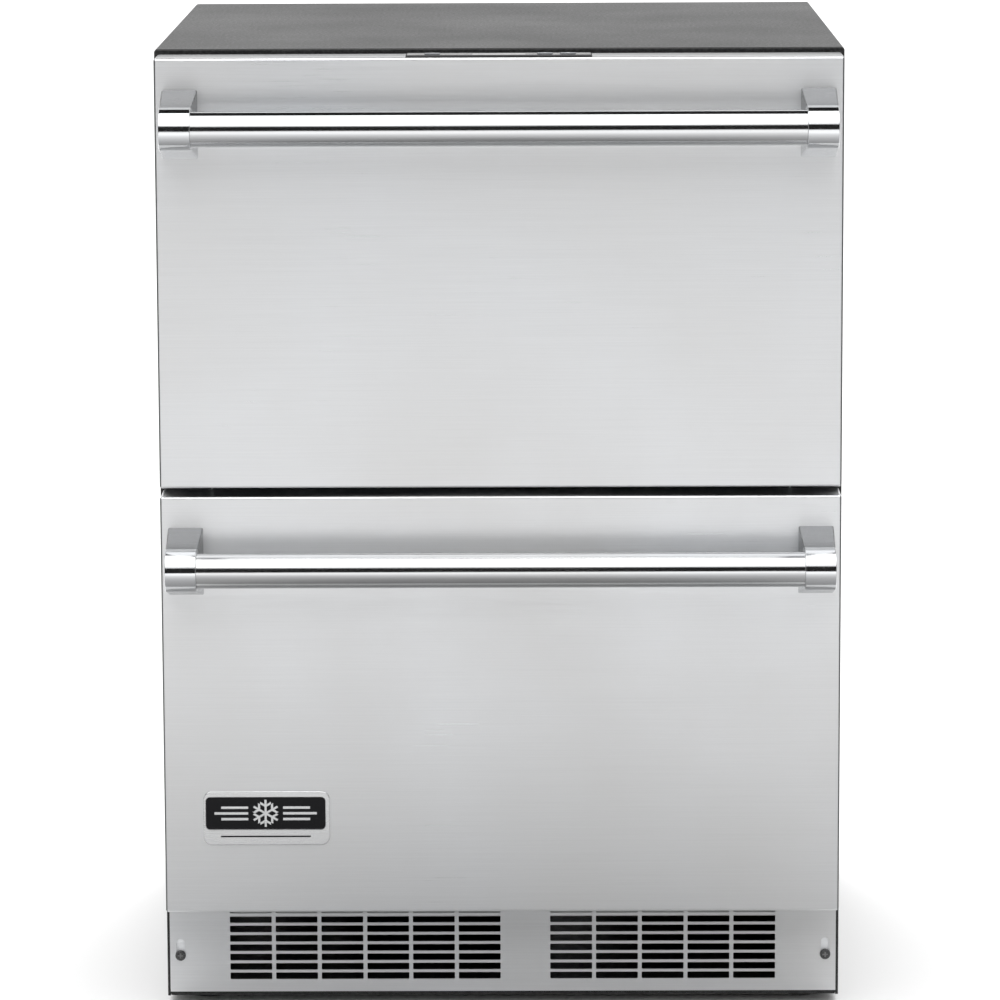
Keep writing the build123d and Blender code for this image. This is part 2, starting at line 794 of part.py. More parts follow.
def gasket_ring(span):
    """Magnetic door seal, a little clear of the cabinet face."""
    outer_x = panel_width / 2 - 6
    with BuildPart() as gasket:
        with BuildSketch(facing_front(front_y - 0.3)):
            rounded(both_sides(outer_x), (span[0] + 6, span[1] - 6), 4)
            rectangle(both_sides(outer_x - 14), (span[0] + 20, span[1] - 20), Mode.SUBTRACT)
        extrude(amount=gasket_depth - 0.3)
        fillet(gasket.faces().sort_by(Axis.Y)[-1].outer_wire().edges(), radius=2.5)
    return gasket


def handle_bar(axis_z):
    """Tube between the two ferrules."""
    with BuildPart() as bar:
        with BuildSketch(Plane(origin=(-bar_half, bar_y, axis_z), x_dir=(0, 1, 0), z_dir=(1, 0, 0))):
            Circle(bar_radius)
            Circle(bar_radius - 2, mode=Mode.SUBTRACT)
        extrude(amount=2 * bar_half)
    return bar


def handle_brackets(axis_z):
    """Pair of cast brackets: a tapered post on the drawer face and a ferrule round the bar's end."""
    with BuildPart() as brackets:
        for side in (-1, 1):
            base = Plane(origin=(side * 277.65, face_y, axis_z), x_dir=(1, 0, 0), z_dir=(0, -1, 0))
            neck = Plane(origin=(side * 278.6, bar_y, axis_z), x_dir=(1, 0, 0), z_dir=(0, -1, 0))
            with BuildSketch(base):
                RectangleRounded(30.9, 60, 1.5)
            with BuildSketch(neck):
                RectangleRounded(ferrule_width, 2 * ferrule_radius, 1.2)
            loft()
            ferrule_start = side * 278.6 - ferrule_width / 2
            ferrule = Plane(origin=(ferrule_start, bar_y, axis_z), x_dir=(0, 1, 0), z_dir=(1, 0, 0))
            with BuildSketch(ferrule):
                Circle(ferrule_radius)
            extrude(amount=ferrule_width)
        rims = brackets.edges().filter_by(lambda e: e.geom_type == GeomType.CIRCLE and e.radius > 15)
        fillet(rims, radius=1)
        # blind bores for the bar's ends
        with BuildSketch(Plane(origin=(-bar_half, bar_y, axis_z), x_dir=(0, 1, 0), z_dir=(1, 0, 0))):
            Circle(bar_radius)
        extrude(amount=2 * bar_half, mode=Mode.SUBTRACT)
    return brackets


plug_half = 240
plug_y = front_y + 4
bar_half = 280
ferrule_width = 27.4
upper_plug = (508, 812)
lower_plug = (126, 447)

for drawer, span, plug in (("upper", upper_front, upper_plug), ("lower", lower_front, lower_plug)):
    has_strip = drawer == "upper"
    axis_z = span[1] - handle_drop
    save(front_skin(span, has_strip), f"{drawer}_front_skin")
    save(front_foam(span, plug, has_strip), f"{drawer}_front_foam")
    save(front_liner(span, plug), f"{drawer}_front_liner")
    save(gasket_ring(span), f"{drawer}_gasket")
    save(handle_bar(axis_z), f"{drawer}_handle_bar")
    save(handle_brackets(axis_z), f"{drawer}_handle_brackets")

# ---------------------------------------------------------------- control strip and badge
key_width = 13.6
key_depth = 7.6
keys = {"button_power": -58, "button_down": 40, "button_up": 60}
strip_mid_y = middle(strip_y)

with BuildPart() as control_strip:
    block(both_sides(strip_half), strip_y, (upper_front[1], strip_top))
    chamfer(control_strip.edges().group_by(Axis.Z)[-1], length=1.2)
    block(both_sides(pocket_half), pocket_y, (pocket_floor, upper_front[1]))
    with BuildSketch(Plane.XY.offset(strip_top)):
        with Locations(*[(x, strip_mid_y) for x in keys.values()]):
            RectangleRounded(key_width + 0.4, key_depth + 0.4, 2.2)
    extrude(amount=-6, mode=Mode.SUBTRACT)
    with BuildSketch(Plane.XY.offset(strip_top)):
        with Locations((0, strip_mid_y)):
            Rectangle(46, 12)
    extrude(amount=-1.5, mode=Mode.SUBTRACT)
save(control_strip, "control_strip")

with BuildPart() as display_window:
    with BuildSketch(Plane.XY.offset(strip_top - 1.5)):
        with Locations((0, strip_mid_y)):
            Rectangle(46, 12)
    extrude(amount=1.4)
save(display_window, "display_window")

for key_name, x in keys.items():
    with BuildPart() as key:
        with BuildSketch(Plane.XY.offset(strip_top - 4.5)):
            with Locations((x, strip_mid_y)):
                RectangleRounded(key_width, key_depth, 2)
        extrude(amount=5.3)
        fillet(key.edges().group_by(Axis.Z)[-1], radius=0.6)
    save(key, key_name)

badge_x = -209
badge_z = 184.5

with BuildPart() as badge:
    with BuildSketch(facing_front(face_y)):
        with Locations((badge_x, badge_z)):
            RectangleRounded(112.5, 49, 8)
    extrude(amount=2)
    fillet(badge.edges().group_by(Axis.Y)[0], radius=0.8)
    with BuildSketch(facing_front(face_y - 2)):
        rounded((-263.5, -156.3), (174, 204), 4.5)
    extrude(amount=-0.8, mode=Mode.SUBTRACT)
save(badge, "badge")


# ---------------------------------------------------------------- bins
bin_y = (plug_y, 206)
rim_half = 250


def finish_bin(top_z, mouth_radius):
    """Flat rim that stiffens a bin's mouth, in the part being built."""
    with BuildSketch(Plane.XY.offset(top_z - 2.5)) as rim:
        rounded(both_sides(rim_half), (bin_y[0], bin_y[1] + 5), mouth_radius + 5)
        rounded(
            both_sides(bin_half - bin_wall),
            (bin_y[0] + bin_wall, bin_y[1] - bin_wall),
            mouth_radius - bin_wall,
            Mode.SUBTRACT,
        )
    extrude(rim.sketch, amount=2.5)


with BuildPart() as upper_bin:
    with BuildSketch(Plane.XY.offset(510)):
        rounded(both_sides(bin_half), bin_y, 14)
    extrude(amount=280)
    fillet(upper_bin.edges().group_by(Axis.Z)[0], radius=8)
    offset(amount=-bin_wall, openings=upper_bin.faces().sort_by(Axis.Z)[-1])
    finish_bin(790, 14)
save(upper_bin, "upper_bin")

lower_bin_top = 440
bin_step_y = step_y - 8

with BuildPart() as lower_bin:
    # shallow over the machine space, deep in front of it
    for inset, mode in ((0, Mode.ADD), (bin_wall, Mode.SUBTRACT)):
        shallow_floor = step_roof + 8 + inset
        deep_floor = cavity_floor + 8 + inset
        with BuildSketch(Plane.XY.offset(shallow_floor)):
            rounded(both_sides(bin_half - inset), (bin_y[0] + inset, bin_y[1] - inset), 14 - inset)
        extrude(amount=lower_bin_top - shallow_floor, mode=mode)
        with BuildSketch(Plane.XY.offset(deep_floor)):
            rounded(both_sides(bin_half - inset), (bin_y[0] + inset, bin_step_y - inset), 14 - inset)
        extrude(amount=step_roof + 20 - deep_floor, mode=mode)
    finish_bin(lower_bin_top, 14)
save(lower_bin, "lower_bin")
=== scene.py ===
"""Two-drawer undercounter refrigerator: looks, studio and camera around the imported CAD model."""

import math
from functools import partial

import bmesh
import bpy
from mathutils import Matrix, Vector


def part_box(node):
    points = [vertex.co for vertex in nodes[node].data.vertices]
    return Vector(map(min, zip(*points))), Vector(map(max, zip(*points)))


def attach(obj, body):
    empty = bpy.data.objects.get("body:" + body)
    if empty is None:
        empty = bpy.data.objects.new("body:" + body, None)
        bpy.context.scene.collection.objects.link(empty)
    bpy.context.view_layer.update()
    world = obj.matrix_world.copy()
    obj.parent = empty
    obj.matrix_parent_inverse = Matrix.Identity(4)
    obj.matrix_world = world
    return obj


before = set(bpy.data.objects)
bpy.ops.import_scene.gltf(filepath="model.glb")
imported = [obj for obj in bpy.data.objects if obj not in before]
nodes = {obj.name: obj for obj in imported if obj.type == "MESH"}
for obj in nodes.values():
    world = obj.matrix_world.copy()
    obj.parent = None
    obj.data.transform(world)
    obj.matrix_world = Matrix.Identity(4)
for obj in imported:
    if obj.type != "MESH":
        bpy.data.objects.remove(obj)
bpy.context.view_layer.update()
scene = bpy.context.scene

MM = 0.001
MICRON = 0.000001
X, Y, Z = 0, 1, 2
WIDE, DEEP, HIGH = (1, 0, 0), (0, 1, 0), (0, 0, 1)
COOL = (0.985, 1.0, 1.02)
WARM = (1.02, 1.0, 0.97)
PLAIN = (1.0, 1.0, 1.0)


def centre(node):
    low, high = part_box(node)
    return (low + high) / 2


def grey(value, tint=PLAIN):
    return tuple(value * part for part in tint) + (1.0,)


def shade(colour, factor=1.0):
    return tuple(factor * part for part in colour) + (1.0,)


def even(per_metre):
    """The same noise scale along all three axes."""
    return (per_metre, per_metre, per_metre)


def grain(across, down, along):
    """Noise scale of brushed metal: fine across its lines and slow down their length, along one axis."""
    return [down if axis == along else across for axis in range(3)]


# ---------------------------------------------------------------- node materials
class Finish:
    """One procedural material, with shortcuts for the nodes that most finishes here share."""

    def __init__(self, name, **values):
        self.material = bpy.data.materials.new(name)
        self.material.use_nodes = True
        self.tree = self.material.node_tree
        self.shader = self.tree.nodes["Principled BSDF"]
        self.place = self.tree.nodes.new("ShaderNodeTexCoord").outputs["Object"]
        for key, value in values.items():
            self.shader.inputs[key.replace("_", " ")].default_value = value

    def node(self, kind, settings=None, **inputs):
        made = self.tree.nodes.new(kind)
        for key, value in (settings or {}).items():
            setattr(made, key, value)
        for key, value in inputs.items():
            self.feed(made.inputs[key.replace("_", " ")], value)
        return made

    def feed(self, socket, value):
        if isinstance(value, bpy.types.NodeSocket):
            self.tree.links.new(value, socket)
        else:
            socket.default_value = value

    def split(self, vector):
        """The X, Y and Z parts of a vector."""
        return self.node("ShaderNodeSeparateXYZ", Vector=vector).outputs

    def stretched(self, per_metre):
        """Object coordinates scaled by a different factor along each axis."""
        mapping = self.node("ShaderNodeMapping", Vector=self.place)
        mapping.inputs["Scale"].default_value = per_metre
        return mapping.outputs["Vector"]

    def noise(self, per_metre, detail=3.0, rough=0.55):
        made = self.node("ShaderNodeTexNoise", Vector=self.stretched(per_metre), Scale=1.0,
                         Detail=detail, Roughness=rough)
        return made.outputs["Fac"]

    def cells(self, per_metre, output="Distance"):
        made = self.node("ShaderNodeTexVoronoi", Vector=self.stretched(per_metre), Scale=1.0)
        return made.outputs[output]

    def spread(self, source, low, high, within=(0.3, 0.7)):
        """The source's range within, mapped to low and high and held there at both ends."""
        made = self.node("ShaderNodeMapRange", {"clamp": True}, Value=source)
        for key, value in zip(("From Min", "From Max", "To Min", "To Max"), (*within, low, high)):
            made.inputs[key].default_value = value
        return made.outputs["Result"]

    def math(self, operation, a, b=0.0):
        made = self.node("ShaderNodeMath", {"operation": operation})
        self.feed(made.inputs[0], a)
        self.feed(made.inputs[1], b)
        return made.outputs[0]

    def blend(self, share, a, b):
        """Colour a, turning into b as share goes from 0 to 1."""
        made = self.node("ShaderNodeMix", {"data_type": "RGBA"})
        self.feed(made.inputs["Factor"], share)
        self.feed(made.inputs[6], a)
        self.feed(made.inputs[7], b)
        return made.outputs[2]

    def bump(self, height, depth, under=None):
        made = self.node("ShaderNodeBump", Height=height, Distance=depth, Strength=1.0)
        if under is not None:
            self.feed(made.inputs["Normal"], under)
        return made.outputs["Normal"]

    def edges(self, radius):
        """0 on flat faces and up to 1 where a face turns a corner within radius, from the rounded normal."""
        rounded = self.node("ShaderNodeBevel", {"samples": 4}, Radius=radius).outputs["Normal"]
        true = self.node("ShaderNodeNewGeometry").outputs["Normal"]
        dot = self.node("ShaderNodeVectorMath", {"operation": "DOT_PRODUCT"})
        self.feed(dot.inputs[0], rounded)
        self.feed(dot.inputs[1], true)
        return self.spread(dot.outputs["Value"], 1.0, 0.0, within=(0.78, 0.995))

    def paint(self, colour):
        self.feed(self.shader.inputs["Base Color"], colour)

    def rough(self, value):
        self.feed(self.shader.inputs["Roughness"], value)

    def shape(self, normal):
        self.feed(self.shader.inputs["Normal"], normal)


def brushed(name, level, roughness, along, depth=4 * MICRON, swing=0.035, aniso=0.0, turn=0.0, rim=1.2,
            bends=None):
    """Sheet or bar metal with fine brush lines along one axis and slow smudges. Its corners are rubbed
    brighter, or painted darker as painted shade where rim is under 1. Where bends is given, the side bends
    in front of the plane y = bends are painted near black, a painted dark reflection on the bent edges."""
    f = Finish(name, Metallic=1.0, Anisotropic=aniso, Anisotropic_Rotation=turn)
    lines = f.noise(grain(1500.0, 12.0, along), detail=2.0, rough=0.6)
    streaks = f.noise(grain(640.0, 4.0, along), detail=3.0, rough=0.6)
    smudges = f.noise((5.0, 5.0, 4.0), detail=4.0, rough=0.5)
    both = f.math("ADD", f.math("MULTIPLY", lines, 0.6), f.math("MULTIPLY", streaks, 0.4))
    sheet = f.blend(f.spread(both, 0.0, 1.0),
                    grey(level * (1 - swing), COOL), grey(level * (1 + swing), COOL))
    dulled = f.blend(f.spread(smudges, 0.0, 0.35), sheet, grey(level * 0.9, WARM))
    # rim under 1 paints the corners darker: painted shade.
    corner_share = 0.35 if rim > 1 else 0.9
    metal = f.blend(f.math("MULTIPLY", f.edges(0.6 * MM), corner_share), dulled,
                    grey(min(level * rim, 0.95), COOL))
    # Painted dark reflection: the side bends in front of the plane are painted near black.
    if bends is not None:
        true = f.node("ShaderNodeNewGeometry").outputs["True Normal"]
        sideways = f.math("ABSOLUTE", f.split(true)["X"])
        dark = f.math("MULTIPLY", f.spread(sideways, 0.0, 0.92, within=(0.3, 0.6)),
                      f.spread(f.split(f.place)["Y"], 1.0, 0.0, within=(bends, bends + 0.4 * MM)))
        metal = f.blend(dark, metal, grey(0.02, COOL))
    f.paint(metal)
    f.rough(f.math("ADD", f.spread(both, roughness - 0.04, roughness + 0.04),
                   f.spread(smudges, -0.015, 0.03)))
    shallow = f.spread(both, 0.42, 0.58, within=(0.42, 0.58))
    f.shape(f.bump(shallow, depth))
    return f.material


def plated(name, level, roughness, axis):
    """Plated handle bracket: polished round the bar's axis; the arm beyond the ferrule's radius is rougher,
    and its top is painted darker. Slow waves in the reflection, hairline marks and dull pits."""
    f = Finish(name, Metallic=1.0)
    parts = f.split(f.place)
    off_y = f.math("SUBTRACT", parts["Y"], axis.y)
    off_z = f.math("SUBTRACT", parts["Z"], axis.z)
    squares = f.math("ADD", f.math("MULTIPLY", off_y, off_y), f.math("MULTIPLY", off_z, off_z))
    reach = f.math("SQRT", squares)
    arm = f.spread(reach, 0.0, 1.0, within=(FERRULE_RADIUS, FERRULE_RADIUS + 0.4 * MM))
    top = f.math("MULTIPLY", arm, f.spread(off_z, 0.0, 1.0, within=(-8 * MM, 0.0)))
    waves = f.noise(even(34.0), detail=2.0, rough=0.45)
    marks = f.noise((40.0, 900.0, 900.0), detail=4.0, rough=0.6)
    pits = f.spread(f.noise(even(700.0), detail=2.0, rough=0.5), 0.0, 1.0, within=(0.66, 0.76))
    darkened_top = f.blend(f.spread(marks, 0.0, 1.0), grey(level * 0.36, COOL), grey(level * 0.46, COOL))
    polish = f.blend(f.math("MULTIPLY", pits, 0.4), grey(level, COOL), grey(level * 0.7, WARM))
    # The top of the arm is painted darker than the polish.
    f.paint(f.blend(top, polish, darkened_top))
    dull = f.math("ADD", f.math("MULTIPLY", pits, 0.1), f.math("MULTIPLY", arm, 0.16))
    f.rough(f.math("ADD", f.spread(marks, roughness * 0.7, roughness * 1.5), dull))
    f.shape(f.bump(marks, 3 * MICRON, under=f.bump(waves, 30 * MICRON)))
    return f.material


def painted(name, level, roughness, peel, grain_size, worn=0.05, gloss=0.0, shine=0.5, speckle=0.3):
    """Powder or spray paint on sheet metal: sandy texture, dust, faint rub marks and edges worn thin."""
    f = Finish(name, Coat_Weight=gloss, Coat_Roughness=0.12, Specular_IOR_Level=shine)
    skin = f.noise(even(grain_size), detail=3.0, rough=0.75)
    clouds = f.noise(even(6.0), detail=4.0, rough=0.55)
    dust = f.spread(f.noise(even(1400.0), detail=1.0, rough=0.5), 0.0, 1.0, within=(0.68, 0.8))
    body = f.blend(f.spread(clouds, 0.0, 1.0), grey(level * 0.85, COOL), grey(level * 1.25, COOL))
    sandy = f.blend(f.spread(skin, 0.0, speckle, within=(0.42, 0.62)), body, grey(level * 3 + 0.03, COOL))
    dusty = f.blend(f.math("MULTIPLY", dust, 0.2), sandy, grey(level * 3 + 0.04, WARM))
    chips = f.math("MULTIPLY", f.edges(0.8 * MM), f.spread(clouds, 0.2, 1.0))
    f.paint(f.blend(chips, dusty, grey(worn + level, WARM)))
    f.rough(f.math("ADD", f.spread(clouds, roughness - 0.03, roughness + 0.04), f.spread(skin, -0.1, 0.1)))
    f.shape(f.bump(skin, peel))
    return f.material


def moulded(name, colour, roughness, spark_size=1100.0, depth=20 * MICRON, sheen=0.0, shine=0.5):
    """Injection-moulded plastic: fine spark texture, slow flow marks, scuffs and polished corners."""
    f = Finish(name, Sheen_Weight=sheen, Sheen_Roughness=0.4, Specular_IOR_Level=shine)
    spark = f.noise(even(spark_size), detail=2.0, rough=0.6)
    flows = f.noise((9.0, 9.0, 14.4), detail=3.0, rough=0.5)
    rubs = f.noise((30.0, 260.0, 260.0), detail=4.0, rough=0.65)
    scuffs = f.spread(rubs, 0.0, 1.0, within=(0.62, 0.78))
    light = tuple(min(1.12 * part + 0.01, 0.95) for part in colour) + (1.0,)
    body = f.blend(f.spread(flows, 0.0, 1.0), shade(colour, 0.9), shade(colour))
    marked = f.blend(f.math("MULTIPLY", scuffs, 0.3), body, light)
    f.paint(f.blend(f.math("MULTIPLY", f.edges(0.7 * MM), 0.25), marked, light))
    f.rough(f.math("SUBTRACT", f.spread(spark, roughness - 0.05, roughness + 0.06),
                   f.math("MULTIPLY", scuffs, 0.06)))
    f.shape(f.bump(spark, depth))
    return f.material


def galvanised(name, shade_from=None):
    """Hot-dip zinc: fine crystal spangle, each crystal with its own grey. Given a plane y in the last
    argument, all behind it is painted near black as painted shade, the dark inside behind the kick plate, and
    the zinc in front of it is painted pale as a painted highlight on the tabs."""
    f = Finish(name, Metallic=0.9 if shade_from is None else 0.0)
    crystal = f.cells(even(150.0), output="Color")
    tone = f.node("ShaderNodeSeparateColor", Color=crystal).outputs["Red"]
    feather = f.noise(even(420.0), detail=3.0, rough=0.6)
    bloom = f.noise(even(7.0), detail=4.0, rough=0.6)
    mixed = f.math("ADD", f.math("MULTIPLY", tone, 0.45), f.math("MULTIPLY", feather, 0.55))
    spangle = f.spread(mixed, 0.0, 1.0, within=(0.2, 0.8))
    if shade_from is None:
        body = f.blend(spangle, grey(0.36, COOL), grey(0.47, COOL))
        aged = f.blend(f.spread(bloom, 0.0, 0.45), body, grey(0.5, WARM))
        f.paint(f.blend(f.math("MULTIPLY", f.edges(0.6 * MM), 0.4), aged, grey(0.6)))
    else:
        # Painted shade behind the plane, and a painted highlight in the pale zinc in front of it.
        in_shade = f.spread(f.split(f.place)["Y"], 0.0, 1.0, within=(shade_from - 0.2 * MM, shade_from))
        painted_shade = f.blend(f.spread(bloom, 0.0, 1.0), grey(0.012, WARM), grey(0.03, WARM))
        painted_pale_zinc = f.blend(spangle, grey(0.7, COOL), grey(0.84, COOL))
        f.paint(f.blend(in_shade, painted_pale_zinc, painted_shade))
    f.rough(f.spread(mixed, 0.42, 0.56, within=(0.2, 0.8)))
    f.shape(f.bump(feather, 12 * MICRON))
    return f.material


def insulating_foam(name):
    """Cut polyurethane foam: small closed cells, darker skin patches and a dry matt surface."""
    f = Finish(name, Specular_IOR_Level=0.25)
    bubbles = f.cells(even(620.0))
    patches = f.noise(even(18.0), detail=4.0, rough=0.6)
    cream = f.blend(f.spread(patches, 0.0, 1.0), (0.66, 0.54, 0.3, 1.0), (0.82, 0.72, 0.48, 1.0))
    f.paint(f.blend(f.spread(bubbles, 0.35, 0.0, within=(0.1, 0.6)), cream, (0.45, 0.34, 0.16, 1.0)))
    f.rough(f.spread(bubbles, 0.95, 0.8, within=(0.1, 0.6)))
    f.shape(f.bump(bubbles, 0.2 * MM))
    return f.material


def ribbed(name, colour, pitch, depth, roughness, along, metallic=0.0):
    """A run of fine ribs across one axis, for fins and lamp covers, with painted shade in each groove and
    patches of dust.
    """
    f = Finish(name, Metallic=metallic)
    wave = f.math("SINE", f.math("MULTIPLY", f.split(f.place)[along], 2 * math.pi / pitch))
    dust = f.noise(even(40.0), detail=4.0, rough=0.6)
    # Painted shade: the colour darkens where the ribs' bump is lowest, in the grooves.
    body = f.blend(f.spread(wave, 0.0, 1.0, within=(-1.0, 1.0)), shade(colour, 0.72), shade(colour))
    f.paint(f.blend(f.spread(dust, 0.0, 0.3), body, shade(colour, 0.8)))
    f.rough(f.spread(dust, roughness, roughness + 0.15))
    f.shape(f.bump(wave, depth))
    return f.material


def drawn_copper(name):
    """Refrigerant tube: bright drawn copper with brown oxide patches."""
    f = Finish(name, Metallic=1.0)
    patches = f.noise(even(26.0), detail=5.0, rough=0.62)
    lines = f.noise((500.0, 500.0, 90.0), detail=2.0, rough=0.6)
    oxide = f.spread(patches, 0.0, 1.0, within=(0.42, 0.66))
    f.paint(f.blend(oxide, (0.82, 0.43, 0.26, 1.0), (0.3, 0.13, 0.07, 1.0)))
    f.rough(f.math("ADD", f.spread(patches, 0.2, 0.45), f.spread(lines, -0.03, 0.05)))
    f.shape(f.bump(lines, 6 * MICRON))
    return f.material


def dark_glass(name):
    """Display window: near-black glass with light fingerprints."""
    f = Finish(name, IOR=1.5, Coat_Weight=1.0, Coat_Roughness=0.03)
    smear = f.noise((60.0, 160.0, 60.0), detail=4.0, rough=0.6)
    f.paint(f.blend(f.spread(smear, 0.0, 1.0), (0.004, 0.006, 0.008, 1.0), (0.012, 0.015, 0.02, 1.0)))
    f.rough(f.spread(smear, 0.04, 0.13))
    f.shape(f.bump(smear, 2 * MICRON))
    return f.material


# Where finishes change on one node: the ferrules' radius; the depth of the fronts' bends, in front of which
# the bends are painted near black as a painted dark reflection; and the back of the base pan's tabs, which
# the kick plate is screwed to, behind which all is painted near black as painted shade.
FERRULE_RADIUS = 18.7 * MM
FRONT_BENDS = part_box("upper_front_skin")[0].y + 1.8 * MM
TAB_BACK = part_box("toe_grille")[0].y + 3.3 * MM

# The fronts' side bends are painted near black as a painted dark reflection.
stainless = brushed("stainless", 0.69, 0.31, X, aniso=0.65, turn=0.25, swing=0.04, depth=5 * MICRON,
                    bends=FRONT_BENDS)
kick_steel = brushed("kick_steel", 0.68, 0.36, X, aniso=0.6, turn=0.25, swing=0.05)
handle_steel = brushed("handle_steel", 0.53, 0.10, X, depth=1.5 * MICRON, swing=0.03)
slide_steel = brushed("slide_steel", 0.6, 0.3, Y, depth=1.5 * MICRON, swing=0.015)
screw_steel = brushed("screw_steel", 0.26, 0.3, Z)
fan_metal = brushed("fan_metal", 0.62, 0.3, Z)
# rim under 1: the badge's edges are painted darker as painted shade.
badge_metal = brushed("badge_metal", 0.64, 0.24, X, depth=2 * MICRON, rim=0.35)
emblem_metal = brushed("emblem_metal", 0.64, 0.24, X, depth=2 * MICRON)
upper_chrome = plated("upper_bracket_chrome", 0.56, 0.08, centre("upper_handle_bar"))
lower_chrome = plated("lower_bracket_chrome", 0.56, 0.08, centre("lower_handle_bar"))
black_paint = painted("black_paint", 0.005, 0.40, peel=140 * MICRON, grain_size=360.0, shine=0.34,
                      speckle=0.5)
black_oxide = painted("black_oxide", 0.03, 0.3, peel=10 * MICRON, grain_size=900.0, worn=0.2)
compressor_paint = painted("compressor_paint", 0.012, 0.2, peel=80 * MICRON, grain_size=380.0, gloss=0.5)
zinc = galvanised("galvanised")
# Base pan and condenser shroud: painted shade behind the tabs' back, and a painted highlight in front of it.
shaded_zinc = galvanised("shaded_galvanised", shade_from=TAB_BACK)
foam = insulating_foam("foam")
liner_plastic = moulded("liner_plastic", (0.74, 0.76, 0.78), 0.32, spark_size=800.0)
bin_plastic = moulded("bin_plastic", (0.62, 0.65, 0.68), 0.28, spark_size=900.0)
black_plastic = moulded("black_plastic", (0.012, 0.012, 0.013), 0.45)
motor_plastic = moulded("motor_plastic", (0.035, 0.035, 0.038), 0.42)
strip_gloss = moulded("strip_gloss", (0.009, 0.009, 0.01), 0.16, spark_size=300.0, depth=4 * MICRON,
                      shine=0.35)
key_plastic = moulded("key_plastic", (0.2, 0.21, 0.225), 0.4)
mark_white = moulded("mark_white", (0.7, 0.71, 0.72), 0.4, depth=4 * MICRON)
badge_enamel = moulded("badge_enamel", (0.004, 0.004, 0.005), 0.16, spark_size=260.0, depth=3 * MICRON,
                       shine=0.15)
gasket_vinyl = moulded("gasket_vinyl", (0.022, 0.022, 0.024), 0.55, spark_size=500.0, sheen=0.1)
rubber = moulded("rubber", (0.018, 0.018, 0.018), 0.7, spark_size=700.0, depth=60 * MICRON, sheen=0.15)
light_diffuser = ribbed("light_diffuser", (0.9, 0.91, 0.93), 3 * MM, 0.3 * MM, 0.3, along=X)
coil_fins = ribbed("coil_fins", (0.66, 0.67, 0.68), 2.1 * MM, 0.3 * MM, 0.3, along=Z, metallic=1.0)
evaporator_fins = ribbed("evaporator_fins", (0.72, 0.73, 0.75), 3.5 * MM, 0.4 * MM, 0.28, along=X,
                         metallic=1.0)
copper = drawn_copper("copper")
display_glass = dark_glass("display_glass")

BY_SLOT = {
    "stainless": stainless, "handle_steel": handle_steel, "bracket_chrome": upper_chrome,
    "black_paint": black_paint, "galvanised": zinc, "foam": foam, "liner_plastic": liner_plastic,
    "bin_plastic": bin_plastic, "black_plastic": black_plastic, "strip_gloss": strip_gloss,
    "key_plastic": key_plastic, "display_glass": display_glass, "light_diffuser": light_diffuser,
    "gasket_vinyl": gasket_vinyl, "rubber": rubber, "slide_steel": slide_steel, "screw_steel": screw_steel,
    "compressor_paint": compressor_paint, "coil_fins": coil_fins, "motor_plastic": motor_plastic,
    "fan_metal": fan_metal, "copper": copper, "badge_metal": badge_metal,
}
BY_NODE = {
    "toe_grille": kick_steel, "evaporator": evaporator_fins, "grille_screws": black_oxide,
    "base_pan": shaded_zinc, "condenser_shroud": shaded_zinc, "lower_handle_brackets": lower_chrome,
}
for name, piece in nodes.items():
    for place, old in enumerate(piece.data.materials):
        piece.data.materials[place] = BY_NODE.get(name, BY_SLOT[old.name.split(".")[0]])


# ---------------------------------------------------------------- mesh tools
def mesh_piece(name, build, material, body=None):
    """A new object whose mesh build(bm) fills, in metres in the CAD frame. It rides on body, if given."""
    bm = bmesh.new()
    build(bm)
    bmesh.ops.recalc_face_normals(bm, faces=bm.faces)
    mesh = bpy.data.meshes.new(name)
    bm.to_mesh(mesh)
    bm.free()
    piece = bpy.data.objects.new(name, mesh)
    scene.collection.objects.link(piece)
    mesh.materials.append(material)
    if body is not None:
        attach(piece, body)
    return piece


def turned(point, degrees):
    """A flat point turned anticlockwise about the origin."""
    a, b = point
    c, s = math.cos(math.radians(degrees)), math.sin(math.radians(degrees))
    return (a * c - b * s, a * s + b * c)


def polar(radius, degrees):
    return turned((radius, 0.0), degrees)


def rounded_bar(half_wide, half_high, radius, steps=8):
    """Corner points of a rounded rectangle, anticlockwise."""
    points = []
    for quarter, (sx, sz) in enumerate(((1, 1), (-1, 1), (-1, -1), (1, -1))):
        for step in range(steps + 1):
            a, b = polar(radius, 90 * (quarter + step / steps))
            points.append((sx * (half_wide - radius) + a, sz * (half_high - radius) + b))
    return points


def bar(half_wide, half_high):
    return [(half_wide, half_high), (-half_wide, half_high),
            (-half_wide, -half_high), (half_wide, -half_high)]


def snowflake(reach, half, branch):
    """Outline of six arms of the given half width, each with a pair of side branches, as one closed line."""
    lean = math.radians(60)
    root = half / math.tan(math.radians(30))
    start = 0.5 * reach
    run = 2 * half / math.sin(lean)
    tip = (branch * math.cos(lean), half + branch * math.sin(lean))
    side = [(root, half), (start, half), (start + tip[0], tip[1]), (start + run + tip[0], tip[1]),
            (start + run, half), (reach, half)]
    arm = [(a, -b) for a, b in side] + [(a, b) for a, b in reversed(side)]
    return [turned(point, 30 + 60 * turn) for turn in range(6) for point in arm[:-1]]


def cross(half_long, half_wide):
    quarter = [(half_long, half_wide), (half_wide, half_wide), (half_wide, half_long)]
    return [turned(point, 90 * turn) for turn in range(4) for point in quarter]


def join_rings(bm, rings):
    """A closed skin over rings of as many vertices each, with a lid on the first and the last."""
    for low, high in zip(rings, rings[1:]):
        for i in range(len(low)):
            j = (i + 1) % len(low)
            bm.faces.new((low[i], low[j], high[j], high[i]))
    bm.faces.new(rings[-1])
    bm.faces.new(list(reversed(rings[0])))


